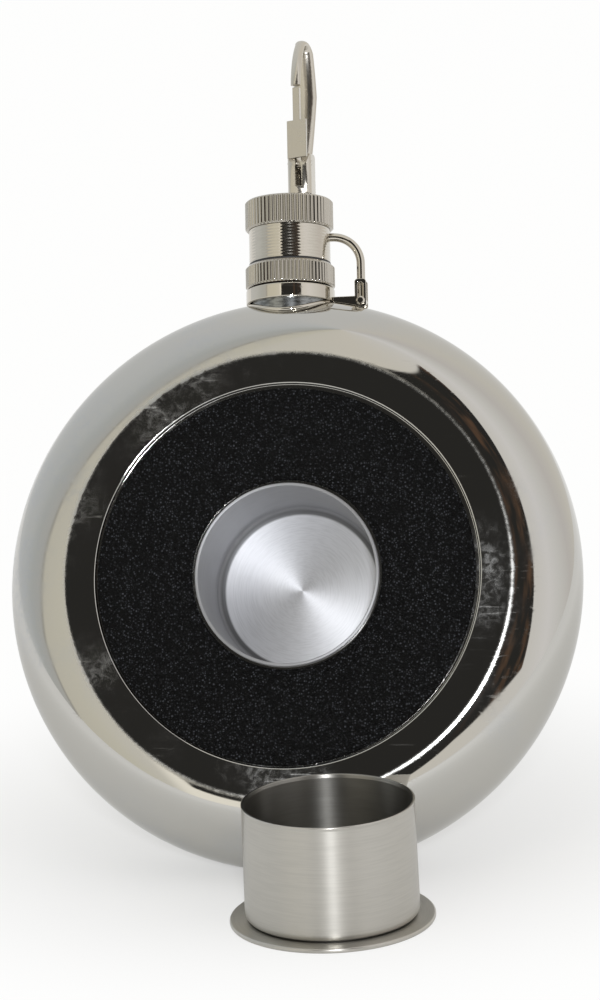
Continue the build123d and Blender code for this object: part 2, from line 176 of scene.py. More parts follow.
def surface(name, grid, ways, wrap_rows=False, wrap_columns=True, flip=False):
    """The mesh of a grid of points in mm, with the outward direction at each.

    A row whose points all coincide becomes one pole. The UV map runs from 0 to 1 across the
    columns and along the rows.
    """
    rows, columns = grid.shape[:2]
    index = np.arange(rows * columns).reshape(rows, columns)
    pole = np.abs(grid - grid[:, :1]).max((1, 2)) < 1e-7
    index[pole] = index[pole, :1]
    r, c = np.meshgrid(
        np.arange(rows if wrap_rows else rows - 1),
        np.arange(columns if wrap_columns else columns - 1),
        indexing="ij",
    )
    r1, c1 = (r + 1) % rows, (c + 1) % columns
    corners = (index[r, c], index[r, c1], index[r1, c1], index[r1, c])
    quads = np.stack(corners, -1).reshape(-1, 4)
    u, u1, v, v1 = c / columns, (c + 1) / columns, r / (rows - 1), (r + 1) / (rows - 1)
    uvs = np.stack((u, v, u1, v, u1, v1, u, v1), -1).reshape(-1, 4, 2)
    if flip:
        quads, uvs = quads[:, ::-1], uvs[:, ::-1]
    used, packed = np.unique(quads, return_inverse=True)
    packed = packed.reshape(-1, 4)
    fresh = packed != np.roll(packed, 1, 1)
    whole = fresh.all(1)
    fans, fan_fresh = packed[~whole], fresh[~whole]
    corner_uvs = np.vstack((uvs[whole].reshape(-1, 2), uvs[~whole][fan_fresh]))
    faces = packed[whole].tolist() + fans[fan_fresh].reshape(-1, 3).tolist()
    mesh = bpy.data.meshes.new(name)
    mesh.from_pydata((grid.reshape(-1, 3)[used] * 0.001).tolist(), [], faces)
    mesh.uv_layers.new(name="around").data.foreach_set("uv", corner_uvs.ravel())
    mesh.polygons.foreach_set("use_smooth", np.ones(len(mesh.polygons), bool))
    mesh.normals_split_custom_set_from_vertices(unit(ways.reshape(-1, 3)[used]).tolist())
    piece = bpy.data.objects.new(name, mesh)
    bpy.context.scene.collection.objects.link(piece)
    return piece


def turned(
    name, corners, around=160, closed=False, steps=6, axis="z", centre=(0, 0, 0), put=on_flask, drift=None
):
    """A profile of (radius, height, rounding) turned about an axis through a centre.

    The point at height h and angle a is (r cos a, r sin a, h), or about the front-to-back axis
    (r cos a, h, r sin a). drift is how far its middle moves over the profile, from 0 to 1.
    """
    profile, side = rounded(corners, closed, steps)
    a = np.linspace(0, 2 * pi, around, endpoint=False)

    def spin(flat):
        x, y, z = flat[:, :1] * np.cos(a), flat[:, :1] * np.sin(a), flat[:, 1:] * np.ones(around)
        return np.stack((x, y, z) if axis == "z" else (x, z, y), -1)

    grid = spin(profile) + np.asarray(centre, float)
    if drift is not None:
        share = np.interp(profile[:, 0], (profile[:, 0].min(), profile[:, 0].max()), (0, 1))
        grid = grid + share[:, None, None] * drift
    return surface(name, put[0](grid), put[1](spin(side)), closed, flip=axis == "y")


def rim(offset):
    """The edge's profile from the flat to the widest point, an offset inside the outer surface.

    An arc turns through the crease where the flat ends. From there a cubic Bezier runs to the
    widest point, where it stands square to the face. The rows are the radius, the depth in front
    of the middle, and the tilt of the outward side away from the face's.
    """
    tilt = np.linspace(0, crease, crease_rows)
    arc_radius = crease_radius + crease_round * np.sin(tilt)
    arc = np.stack((arc_radius, half - crease_round * (1 - np.cos(tilt))))
    start = arc[:, -1:]
    end = np.array(((body_radius,), (0.0,)))
    leaving = start + crease_handle * np.array(((cos(crease),), (-sin(crease),)))
    coming = end + np.array(((0.0,), (widest_handle,)))
    t = np.linspace(0, 1, 301)[1:]
    curve = (1 - t) ** 3 * start + 3 * (1 - t) ** 2 * t * leaving + 3 * (1 - t) * t**2 * coming + t**3 * end
    slope = (1 - t) ** 2 * (leaving - start) + 2 * (1 - t) * t * (coming - leaving)
    slope = slope + t**2 * (end - coming)
    tilt = np.r_[tilt, np.arctan2(-slope[1], slope[0])]
    r, depth = np.hstack((arc, curve)) - offset * np.stack((np.sin(tilt), np.cos(tilt)))
    return np.stack((r, depth, tilt))


def shell(name, side, face, inside, seam=0.035):
    """Half of the body: a turned face, then the rim's profile, which stops at the neck.

    At angle a round the flask the point at radius r and depth d is (r cos a, side d, r sin a). The
    profile ends at the seam, or where x*x + y*y comes down to the square of the neck's radius.
    """
    dense = pi / 2 + np.linspace(-1, 1, 41) * 0.15
    a = np.unique(np.r_[np.linspace(0, 2 * pi, 256, endpoint=False), dense])

    def edge(offset):
        r, depth, tilt = rim(offset)
        room = (r[:, None] * np.cos(a)) ** 2 + depth[:, None] ** 2 - neck_radius**2
        met = (room < 0) & (np.sin(a) > 0)
        first = np.maximum(met.argmax(0), 1)
        column = np.arange(a.size)
        before, after = room[first - 1, column], room[first, column]
        cut = first - 1 + before / np.where(met.any(0), before - after, 1)
        last = np.where(met.any(0), cut, np.interp(-seam, -depth, np.arange(r.size)))
        turning = np.arange(crease_rows)[:, None] * np.ones(a.size)
        bend_end = crease_rows - 1
        place = np.vstack((turning, bend_end + np.linspace(0, 1, rim_rows)[1:, None] * (last - bend_end)))
        r, depth, tilt = (np.interp(place, np.arange(r.size), row) for row in (r, depth, tilt))
        return np.stack((r, -depth, np.sin(tilt), -np.cos(tilt)))

    def flat(corners):
        profile, ways = rounded(corners, steps=5)
        return np.hstack((profile, ways)).T[:, :, None] * np.ones(a.size)

    wall = edge(sheet)[:, :0:-1] * np.array((1, 1, -1, -1))[:, None, None]
    r, y, way_r, way_y = np.concatenate((flat(face), edge(0.0)[:, 1:], wall, flat(inside)), 1)
    grid = np.stack((r * np.cos(a), -side * y, r * np.sin(a)), -1)
    ways = np.stack((way_r * np.cos(a), -side * way_y, way_r * np.sin(a)), -1)
    return surface(name, tip(grid), tip_way(ways), wrap_rows=side < 0, flip=side < 0)


def knurled(name, radius, teeth, low, high, low_bevel, high_bevel, bore, notch=0.28):
    """A ring with straight V notches: its radius is the lesser of the bevelled rim's and the notch's.

    At distance x round the rim from a notch's middle, the notch's radius is R - max(0, depth - |x|).
    """
    corners = [
        (bore, high, 0.1), (bore, low, 0.1), (radius - low_bevel, low, 0.05),
        (radius, low + low_bevel, 0.05), (radius, high - high_bevel, 0.05),
        (radius - high_bevel, high, 0.05),
    ]
    profile = rounded(corners, closed=True, steps=3)[0]
    fine = np.arange(0, len(profile), 0.25)
    profile = np.stack([np.interp(fine, np.arange(len(profile)), column) for column in profile.T], -1)
    pitch = 2 * pi * radius / teeth
    across = np.array((-notch, -notch / 2, 0, notch / 2, notch, pitch / 2))
    x = np.tile(across, teeth)
    a = (np.repeat(np.arange(teeth), across.size) * pitch + x) / radius
    r = np.minimum(profile[:, :1], radius - np.maximum(notch - np.abs(x), 0))
    grid = np.stack((r * np.cos(a), r * np.sin(a), profile[:, 1:] * np.ones(a.size)), -1)
    return surface(name, tip(grid), tip_way(grid_ways(grid, wrap_rows=True)), wrap_rows=True)


def thread(name, radius, rise, low, high, inward=False):
    """A screw thread: the radius grows by the rise times a ridge of the height and the angle.

    The ridge is a cosine of 2 pi h / pitch - a, raised and held flat at its crest and its root. The
    root lies 0.08 of the rise below the radius, and the crest a full rise above it. The ridge
    fades out over half a millimetre at both ends of the height h. A rise below 0 turns it inward.
    """
    h = np.linspace(low, high, 72)[:, None]
    a = np.linspace(0, 2 * pi, 120, endpoint=False)
    ridge = np.clip(0.9 * np.cos(2 * pi * (h - low) / thread_pitch - a) + 0.35, 0, 1)
    fade = np.clip(np.minimum(h - low, high - h) / 0.5, 0, 1)
    r = radius + rise * (ridge * fade * 1.08 - 0.08)
    grid = np.stack((r * np.cos(a), r * np.sin(a), h * np.ones(a.size)), -1)
    return surface(name, tip(grid), tip_way(grid_ways(grid) * (-1 if inward else 1)), flip=inward)


def swept(name, path, across, radius, around=32):
    """A round wire carried along a path of points: p + radius * (cos a * across + sin a * up).

    across is square to the path's plane, and up is the path's direction crossed with it. The two
    ends are open, and lie inside the pieces that the wire joins.
    """
    path = np.asarray(path, float)
    up = np.cross(unit(np.gradient(path, axis=0)), across)
    a = np.linspace(0, 2 * pi, around, endpoint=False)[:, None]
    grid = path[:, None] + radius * np.cos(a) * np.asarray(across) + radius * np.sin(a) * up[:, None]
    return surface(name, tip(grid), tip_way(grid_ways(grid)))


def softened(name, source, width, segments=2, slant=0.0):
    """A copy of a CAD node's mesh, its loose triangles joined and its edges rounded by a bevel.

    width is the bevel's, in mm. slant leans the front back to the left, as the hook's gate is: the
    depth falls by slant times the distance from its right-hand side.
    """
    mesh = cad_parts[source].data.copy()
    joined = bmesh.new()
    joined.from_mesh(mesh)
    bmesh.ops.remove_doubles(joined, verts=joined.verts, dist=1e-6)
    bmesh.ops.dissolve_limit(joined, angle_limit=radians(0.5), verts=joined.verts, edges=joined.edges)
    joined.to_mesh(mesh)
    joined.free()
    if slant:
        points = np.empty(3 * len(mesh.vertices), np.float32)
        mesh.vertices.foreach_get("co", points)
        points = points.reshape(-1, 3)
        left, front = points @ hook_left, points @ hook_front
        fronted = front > (front.min() + front.max()) / 2
        points -= (fronted * slant * (left - left.min()))[:, None] * hook_front
        mesh.vertices.foreach_set("co", points.ravel())
    mesh.materials.clear()
    mesh.shade_smooth()
    sharp = radians(35)
    mesh.set_sharp_from_angle(angle=sharp)
    piece = bpy.data.objects.new(name, mesh)
    bpy.context.scene.collection.objects.link(piece)
    bevel = piece.modifiers.new("edges", "BEVEL")
    bevel.width, bevel.segments, bevel.limit_method = width * 0.001, segments, "ANGLE"
    bevel.angle_limit, bevel.harden_normals = sharp, True
    return piece


# Finishes

def node(tree, kind, links=None, **settings):
    """A node of one kind, with its settings, and its inputs from values or other nodes' outputs."""
    made = tree.nodes.new("ShaderNode" + kind)
    for key, value in settings.items():
        setattr(made, key, value)
    for key, value in (links or {}).items():
        if isinstance(value, bpy.types.NodeSocket):
            tree.links.new(value, made.inputs[key])
        else:
            made.inputs[key].default_value = value
    return made


def maths(tree, operation, first, second=0.0):
    """One step of arithmetic on two numbers or sockets."""
    return node(tree, "Math", {0: first, 1: second}, operation=operation).outputs[0]


def between(tree, value, low, high, to_low=0.0, to_high=1.0, smooth=True):
    """A value carried smoothly from one range into another, and held at both ends."""
    kind = "SMOOTHSTEP" if smooth else "LINEAR"
    inputs = {"Value": value, "From Min": low, "From Max": high, "To Min": to_low, "To Max": to_high}
    return node(tree, "MapRange", inputs, interpolation_type=kind).outputs["Result"]


def blended(tree, share, first, second):
    """Two colours, or sockets, mixed by a share."""
    mix = tree.nodes.new("ShaderNodeMix")
    mix.data_type = "RGBA"
    for socket, value in ((0, share), (6, first), (7, second)):
        if isinstance(value, bpy.types.NodeSocket):
            tree.links.new(value, mix.inputs[socket])
        else:
            mix.inputs[socket].default_value = value
    return mix.outputs[2]


def finish(name, **sockets):
    """A material with one Principled shader, whose sockets are set, and its object coordinates."""
    made = bpy.data.materials.new(name)
    made.use_nodes = True
    tree = made.node_tree
    shader = tree.nodes["Principled BSDF"]
    for key, value in sockets.items():
        shader.inputs[key.replace("_", " ")].default_value = value
    place = tree.nodes.new("ShaderNodeTexCoord").outputs["Object"]
    return made, tree, shader, place


def noise(tree, place, scale, detail=3.0, rough=0.55, warp=0.0):
    """Soft noise, with features about 1 / scale of a metre across."""
    inputs = {"Vector": place, "Scale": scale, "Detail": detail, "Roughness": rough, "Distortion": warp}
    return node(tree, "TexNoise", inputs).outputs["Fac"]


def stretched(tree, place, scale, turn=(0.0, 0.0, 0.0)):
    """Coordinates turned, then stretched along each axis."""
    return node(tree, "Mapping", {"Vector": place, "Rotation": turn, "Scale": scale}).outputs["Vector"]


def vector(tree, operation, first, second=(0.0, 0.0, 0.0), output="Vector"):
    """One step of arithmetic on two vectors or sockets."""
    key = "Scale" if operation == "SCALE" else 1
    return node(tree, "VectorMath", {0: first, key: second}, operation=operation).outputs[output]


def about(tree, place, centre, axis):
    """Object coordinates taken round an axis: the height, the distance, and the unit arm outward."""
    arm = vector(tree, "SUBTRACT", place, centre)
    height = vector(tree, "DOT_PRODUCT", arm, axis, "Value")
    out = vector(tree, "SUBTRACT", arm, vector(tree, "SCALE", axis, height))
    return height, vector(tree, "LENGTH", out, output="Value"), vector(tree, "NORMALIZE", out)


def round_lines(tree, height, distance, arm, fine, breaks):
    """Noise that changes quickly with height and distance, and slowly round the axis."""
    turn = node(tree, "SeparateXYZ", {0: arm}).outputs
    inputs = {
        0: maths(tree, "MULTIPLY", distance, fine), 1: maths(tree, "MULTIPLY", height, fine),
        2: maths(tree, "MULTIPLY", turn["X"], breaks),
    }
    joined = node(tree, "CombineXYZ", inputs).outputs[0]
    inputs = {"Vector": joined, "W": maths(tree, "MULTIPLY", turn["Y"], breaks), "Scale": 1.0, "Detail": 4.0}
    return node(tree, "TexNoise", inputs, noise_dimensions="4D").outputs["Fac"]


def scratches(tree, place, turn, scale=900.0, length=24.0, rare=0.66):
    """Fine hairlines one way: noise drawn out along it, with only its peaks kept."""
    lines = noise(tree, stretched(tree, place, (scale / length, scale, scale), turn), 1.0, 2.0, 0.6)
    patches = noise(tree, place, 60.0, 2.0)
    peaks = between(tree, lines, rare, rare + 0.06)
    return maths(tree, "MULTIPLY", peaks, between(tree, patches, 0.45, 0.65))


def polished_steel(name, base, rough, smudge, ripple=0.05, edge=None):
    """Mirror-polished steel with mottled finger marks, fine hairlines and a faint ripple.

    The marks gather toward the lower left. edge is the radius of the crease in metres, where the
    buffing left a rougher band.
    """
    made, tree, shader, place = finish(name, Metallic=1.0)
    lean_to = vector(tree, "DOT_PRODUCT", place, (-1.5, 0.0, -1.0), "Value")
    spots = maths(tree, "ADD", noise(tree, place, 40.0, 3.0, 0.6, 0.2), lean_to)
    patches = between(tree, spots, 0.40, 0.70)
    mottle = between(tree, noise(tree, place, 700.0, 4.0, 0.65, 0.6), 0.36, 0.66, 0.35, 1.0)
    prints = maths(tree, "MULTIPLY", patches, mottle)
    lines = scratches(tree, place, (0.3, 0.5, 0.4))
    lines = maths(tree, "MAXIMUM", lines, scratches(tree, place, (0.9, 0.2, 2.1)))
    lines = maths(tree, "MAXIMUM", lines, scratches(tree, place, (0.1, 0.6, 1.0), 1500.0, 16.0, 0.64))
    dull = maths(tree, "ADD", maths(tree, "MULTIPLY", prints, smudge), maths(tree, "MULTIPLY", lines, 0.10))
    if edge:
        distance = about(tree, place, body_middle, face_axis)[1]
        off = maths(tree, "ABSOLUTE", maths(tree, "SUBTRACT", distance, edge))
        fuzz = noise(tree, place, 1400.0, 3.0)
        worn = between(tree, fuzz, 0.3, 0.7, 0.16, 0.26)
        band = maths(tree, "MULTIPLY", between(tree, off, 0.0007, 0.0), worn)
        dull = maths(tree, "ADD", dull, band)
    tree.links.new(maths(tree, "ADD", dull, rough), shader.inputs["Roughness"])
    tint = blended(tree, prints, (*base, 1), (base[0] * 0.95, base[1] * 0.97, base[2] * 1.02, 1))
    tree.links.new(tint, shader.inputs["Base Color"])
    sheet_wave = noise(tree, place, 28.0, 1.0)
    bump = node(tree, "Bump", {"Strength": ripple, "Distance": 0.002, "Height": sheet_wave})
    inputs = {"Strength": 0.06, "Distance": 0.00002, "Height": lines, "Normal": bump.outputs["Normal"]}
    fine = node(tree, "Bump", inputs)
    tree.links.new(fine.outputs["Normal"], shader.inputs["Normal"])
    return made


def turned_steel(name, base, rough, centre, axis, fine, breaks, depth, aniso, shade=0.86, shade_zones=()):
    """Satin steel with fine lines round an axis, across which it scatters more than along them.

    Each zone is (start, end, tone) and paints shade: from the start to the end distance, in metres,
    the colour comes to be multiplied by the tone, and it stays so outward.
    """
    made, tree, shader, place = finish(name, Metallic=1.0, Anisotropic=aniso, Anisotropic_Rotation=0.25)
    height, distance, arm = about(tree, place, centre, axis)
    lines = round_lines(tree, height, distance, arm, fine, breaks)
    cloud = noise(tree, place, 120.0, 4.0, 0.6, 0.3)
    change = maths(tree, "ADD", maths(tree, "MULTIPLY", lines, 0.10), maths(tree, "MULTIPLY", cloud, 0.05))
    tree.links.new(maths(tree, "ADD", change, rough - 0.075), shader.inputs["Roughness"])
    dark = tuple(value * shade for value in base)
    colour = blended(tree, between(tree, lines, 0.32, 0.62), (*dark, 1), (*base, 1))
    # Painted shade: each zone scales the colour by its tone from its distance outward
    for start, end, tone in shade_zones:
        shaded = vector(tree, "SCALE", colour, tone)
        colour = blended(tree, between(tree, distance, start, end), colour, shaded)
    tree.links.new(colour, shader.inputs["Base Color"])
    bump = node(tree, "Bump", {"Strength": depth, "Distance": 0.00002, "Height": lines})
    tree.links.new(bump.outputs["Normal"], shader.inputs["Normal"])
    along = vector(tree, "CROSS_PRODUCT", axis, arm)
    frames = {"vector_type": "VECTOR", "convert_from": "OBJECT", "convert_to": "WORLD"}
    way = node(tree, "VectorTransform", {0: along}, **frames)
    tree.links.new(way.outputs[0], shader.inputs["Tangent"])
    return made


def pebbled_leather(name):
    """Black leather with a fine pebble grain: round cells parted by grooves, with painted glints at their
    crests.
    """
    made, tree, shader, place = finish(name, Specular_IOR_Level=0.13)
    warp = node(tree, "TexNoise", {"Vector": place, "Scale": 500.0, "Detail": 2.0}).outputs["Color"]
    moved = vector(tree, "ADD", place, vector(tree, "MULTIPLY", warp, (0.0006, 0.0006, 0.0006)))
    grain = {"Vector": moved, "Scale": 2200.0}
    cells = node(tree, "TexVoronoi", grain, feature="F1")
    gap = node(tree, "TexVoronoi", grain, feature="DISTANCE_TO_EDGE").outputs["Distance"]
    groove = between(tree, gap, 0.0, 0.22)
    cloud = noise(tree, place, 110.0, 4.0)
    pick = node(tree, "SeparateColor", {0: cells.outputs["Color"]}).outputs[0]
    # Painted glints: pale bluish dots in the middles of the cells, stronger on some cells than others
    crest_glint = between(tree, cells.outputs["Distance"], 0.1, 0.5, 1.0, 0.0)
    crest_glint = maths(tree, "MULTIPLY", crest_glint, between(tree, pick, 0.05, 0.95))
    tone = blended(tree, crest_glint, (0.001, 0.001, 0.0012, 1), (0.064, 0.068, 0.079, 1))
    dark = blended(tree, groove, (0.0008, 0.0008, 0.001, 1), tone)
    tree.links.new(dark, shader.inputs["Base Color"])
    rough = between(tree, pick, 0.0, 1.0, 0.16, 0.42, False)
    rough = maths(tree, "ADD", rough, between(tree, cloud, 0.3, 0.7, -0.06, 0.1))
    tree.links.new(rough, shader.inputs["Roughness"])
    pores = noise(tree, place, 5200.0, 2.0)
    height = maths(tree, "ADD", groove, maths(tree, "MULTIPLY", pores, 0.25))
    height = maths(tree, "ADD", height, maths(tree, "MULTIPLY", pick, 0.5))
    bump = node(tree, "Bump", {"Strength": 1.0, "Distance": 0.0003, "Height": height})
    tree.links.new(bump.outputs["Normal"], shader.inputs["Normal"])
    return made


def moulded(name, low, high, rough, grain):
    """Moulded rubber or plastic: two near tones, a fine grain and slightly uneven gloss."""
    made, tree, shader, place = finish(name)
    cloud = noise(tree, place, 220.0, 4.0)
    tree.links.new(blended(tree, cloud, (*low, 1), (*high, 1)), shader.inputs["Base Color"])
    tree.links.new(between(tree, cloud, 0.3, 0.7, rough - 0.06, rough + 0.08), shader.inputs["Roughness"])
    fine = noise(tree, place, grain, 3.0)
    bump = node(tree, "Bump", {"Strength": 0.25, "Distance": 0.00003, "Height": fine})
    tree.links.new(bump.outputs["Normal"], shader.inputs["Normal"])
    return made


body_middle = tuple(tip(np.zeros(3)) * 0.001)
face_axis = tuple(tip_way(np.array((0.0, 1.0, 0.0))))
neck_axis = tuple(tip_way(np.array((0.0, 0.0, 1.0))))
cup_middle = tuple(cup_place * 0.001)
upright = (0.0, 0.0, 1.0)

steel = (0.55, 0.54, 0.51)
nickel = (0.60, 0.565, 0.50)
mirror = polished_steel("mirror_steel", steel, 0.035, 0.22, edge=crease_radius * 0.001 + 0.0003)
small_mirror = polished_steel("mirror_nickel", nickel, 0.06, 0.14, 0.02)
cast_nickel = polished_steel("cast_nickel", nickel, 0.2, 0.12, 0.3)
# Painted shade: the knurled rings' nickel is darker than that of the other nickel parts
knurl = polished_steel("knurled_nickel", (0.50, 0.47, 0.415), 0.07, 0.16, 0.02)
# Painted shade: beyond 10 mm from the axis, the cup's inside is darker than its outside
cup_satin = turned_steel(
    "satin_cup", (0.50, 0.485, 0.45), 0.34, cup_middle, upright, 3800.0, 2.5, 0.08, 0.8, 0.93,
    ((0.0, 0.01, 0.7), (0.01545, 0.0156, 1.6)),
)
# Painted shade: a dark ring where the well's floor meets its wall, and the wall darker than the floor
well_spun = turned_steel(
    "spun_well", (0.69, 0.695, 0.72), 0.5, body_middle, face_axis, 4200.0, 5.0, 0.14, 0.66, 0.90,
    ((0.0144, 0.0149, 0.22), (0.0153, 0.0159, 2.7)),
)
cap_satin = turned_steel("turned_cap", nickel, 0.12, body_middle, neck_axis, 4200.0, 4.0, 0.10, 0.4, 0.95)
# Painted shade: the neck's steel is far darker than the body's, for the shade under the collar
shaded_neck = turned_steel(
    "neck_steel", (0.30, 0.31, 0.31), 0.26, body_middle, neck_axis, 2600.0, 6.0, 0.4, 0.4, 0.4
)
leather = pebbled_leather("pebbled_leather")
rubber = moulded("seal_rubber", (0.62, 0.60, 0.55), (0.70, 0.68, 0.62), 0.55, 2500.0)
washer_black = moulded("washer_plastic", (0.012, 0.012, 0.013), (0.025, 0.025, 0.027), 0.4, 3000.0)


def fit(piece, body, slot, material, *nodes):
    """Give a piece its finish and its body, and hide the CAD nodes that it stands for. The slot is not used.
    """
    piece.data.materials.append(material)
    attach(piece, body)
    if nodes:
        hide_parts(*nodes)


# Body
face = [
    (lip_radius, recess_floor, 0), (recess_radius, recess_floor, 0.25), (recess_radius, -half, 0.3),
    (crease_radius, -half, 0),
]
inside = [
    (crease_radius, sheet - half, 0), (recess_radius + sheet, sheet - half, 0.4),
    (recess_radius + sheet, recess_floor + sheet, 0.1), (lip_radius, recess_floor + sheet, 0),
]
fit(shell("face_half", -1, face, inside), "flask", "polished_steel", mirror, "front_shell")
plain = [(0, -half, 0), (crease_radius, -half, 0)]
plain_inside = [(crease_radius, sheet - half, 0), (0, sheet - half, 0)]
fit(shell("back_half", 1, plain, plain_inside), "flask", "polished_steel", mirror, "back_shell")

well_corners = [
    (0, well_floor, 0), (well_foot, well_floor, 1.6), (well_mouth, lip_face, 0.2),
    (lip_radius, lip_face, 0.2), (lip_radius, recess_floor + sheet, 0.05),
    (well_foot + well_sheet, well_floor + well_sheet, 2.2), (0, well_floor + well_sheet, 0),
]
well = turned("well", well_corners, 192, axis="y", steps=9)
fit(well, "flask", "spun_steel", well_spun, "cup_well")

leather_corners = [
    (leather_hole, recess_floor, 0.05), (leather_hole, leather_face, 0.25),
    (leather_radius, leather_face, 0.3), (leather_radius, recess_floor, 0.05),
]
disc = turned("leather", leather_corners, 224, True, axis="y", drift=leather_shift)
fit(disc, "flask", "leather", leather, "leather_ring")

# Neck, spout and collar
neck_corners = [
    (bore_radius, spout_top, 0.15), (bore_radius, neck_low, 0.1), (neck_radius, neck_low, 0.1),
    (neck_radius, collar_top, 0.15), (spout_radius, collar_top, 0.2), (spout_radius, spout_top, 0.2),
]
fit(turned("neck", neck_corners, 144, True), "flask", "brushed_steel", shaded_neck, "neck_tube")
spout_thread = thread("spout_thread", spout_radius, thread_rise, collar_top + 0.5, spout_top - 0.35)
fit(spout_thread, "flask", "brushed_steel", cap_satin)
collar_corners = [
    (neck_radius, collar_low, 0.05), (collar_radius, collar_low, 0.25),
    (collar_radius, collar_top, 0.3), (neck_radius, collar_top, 0.05),
]
fit(turned("collar", collar_corners, 144, True), "flask", "polished_steel", small_mirror, "neck_collar")

# A bead of weld round the foot of the neck, where its wall meets the body's edge
a = np.linspace(0, 2 * pi, 145)[:-1]
bead_radius, bead_bulge = neck_radius + 0.12, 0.4
x, y = bead_radius * np.cos(a), bead_radius * np.sin(a)
bead_z = np.sqrt((flat_radius + np.sqrt(half**2 - y**2)) ** 2 - x**2)
middle = np.stack((x, y, bead_z), -1)
q = np.linspace(0, 2 * pi, 12, endpoint=False)[:, None, None]
out = np.stack((np.cos(a), np.sin(a), np.zeros(a.size)), -1)
bead_ways = np.cos(q) * out + np.sin(q) * np.array((0, 0, 1.0))
bead = middle + bead_bulge * bead_ways
fit(surface("neck_bead", tip(bead), tip_way(bead_ways), True), "flask", "polished_steel", small_mirror)

fit(softened("bracket", "arm_bracket", 0.35, 4), "flask", "polished_steel", small_mirror, "arm_bracket")

# Hinge pin, arm and sleeve
pin_corners = [
    (0, -pin_half - pin_dome, 0), (0.55, -pin_half - 0.38, 0.12), (pin_head, -pin_half - 0.16, 0.1),
    (pin_head, -pin_half, 0.05), (pin_radius, -pin_half, 0.03), (pin_radius, pin_half, 0.03),
    (pin_head, pin_half, 0.05), (pin_head, pin_half + 0.16, 0.1), (0.55, pin_half + 0.38, 0.12),
    (0, pin_half + pin_dome, 0),
]
pin = turned("pin", pin_corners, 40, axis="y", centre=(pin_x, 0, pin_z), steps=4)
fit(pin, "pin", "polished_steel", small_mirror, "hinge_pin")

bend = np.linspace(0, pi / 2, 25)[:, None]
round_bend = np.sin(bend) * (1, 0, 0) + np.cos(bend) * (0, 0, 1)
arm_path = np.vstack((
    np.linspace((sleeve_radius - 0.1, 0, arm_z), (pin_x - arm_bend, 0, arm_z), 3)[:-1],
    (pin_x - arm_bend, 0, arm_z - arm_bend) + arm_bend * round_bend,
    np.linspace((pin_x, 0, arm_z - arm_bend), (pin_x, 0, wire_low), 8)[1:],
))
arm = swept("arm", arm_path, (0, 1, 0), wire_radius)
fit(arm, "arm", "polished_steel", small_mirror, "captive_arm")
eye_corners = [
    (eye_bore, -eye_half, 0.08), (eye_radius, -eye_half, 0.12), (eye_radius, eye_half, 0.12),
    (eye_bore, eye_half, 0.08),
]
eye = turned("arm_eye", eye_corners, 40, True, axis="y", centre=(pin_x, 0, pin_z), steps=4)
fit(eye, "arm", "polished_steel", small_mirror)

rows = np.linspace(0, 1, 133)
wave = sleeve_radius - sleeve_ring_depth * (1 - np.cos(2 * pi * sleeve_rings * rows))
sleeve_corners = [(sleeve_bore, sleeve_top, 0.05), (sleeve_bore, sleeve_low, 0.05)]
sleeve_corners += [(r, sleeve_low + (sleeve_top - sleeve_low) * share, 0) for r, share in zip(wave, rows)]
fit(turned("sleeve", sleeve_corners, 144, True, 3), "arm", "brushed_steel", cap_satin, "swivel_sleeve")

# Cap
barrel_corners = [
    (cap_bore, web_low, 0.1), (cap_bore, ring_low, 0.15), (barrel_radius, ring_low, 0.1),
    (barrel_radius, barrel_top, 0.1), (cap_bore, barrel_top, 0.1), (cap_bore, web_top, 0.1), (0, web_top, 0),
]
barrel = turned("barrel", [(0, web_low, 0)] + barrel_corners, 128)
fit(barrel, "cap", "brushed_steel", cap_satin, "cap_barrel")
cap_thread = thread("cap_thread", cap_bore, -thread_rise, ring_low + 0.35, seal_low - 0.2, True)
fit(cap_thread, "cap", "brushed_steel", cap_satin)
ring = knurled("lower_ring", ring_radius, 68, ring_low, ring_top, 0.35, 0.55, barrel_radius)
fit(ring, "cap", "brushed_steel", knurl, "cap_lower_ring")
crown = knurled("crown", crown_radius, 60, crown_low, crown_face, 0.35, 0.35, crown_bore)
fit(crown, "cap", "brushed_steel", knurl, "cap_crown")
seal_corners = [
    (0, seal_low, 0), (groove_inner, seal_low, 0.1), (4.5, seal_low + seal_groove, 0.1),
    (5.5, seal_low + seal_groove, 0.1), (groove_outer, seal_low, 0.1), (cap_bore, seal_low, 0.2),
    (cap_bore, web_low, 0.05), (0, web_low, 0),
]
fit(turned("seal", seal_corners, 96), "cap", "seal_rubber", rubber, "seal_disc")
washer_corners = [
    (barrel_radius, ring_top, 0.05), (washer_radius, ring_top, 0.08), (washer_radius, washer_top, 0.08),
    (barrel_radius, washer_top, 0.05),
]
fit(turned("washer", washer_corners, 128, True), "cap", "washer_plastic", washer_black, "sleeve_washer")
rivet_corners = [
    (0, rivet_low, 0), (rivet_face, rivet_low, 0.2), (rivet_head, rivet_side, 0.15),
    (rivet_head, rivet_head_top, 0.08), (rivet_shank, rivet_head_top, 0.05),
    (rivet_shank, rivet_top, 0.08), (0, rivet_top, 0),
]
fit(turned("rivet", rivet_corners, 48, steps=4), "hook", "polished_steel", small_mirror, "hook_rivet")

# Snap hook
fit(softened("hook", "hook_body", 0.4, 3), "hook", "polished_steel", cast_nickel, "hook_body")
fit(softened("gate", "hook_gate", 0.3, 3, 0.3), "gate", "polished_steel", cast_nickel, "hook_gate")
fit(softened("gate_rivet", "gate_pin", 0.08), "hook", "polished_steel", small_mirror, "gate_pin")
fit(softened("leaf_spring", "gate_spring", 0.03), "hook", "polished_steel", small_mirror, "gate_spring")

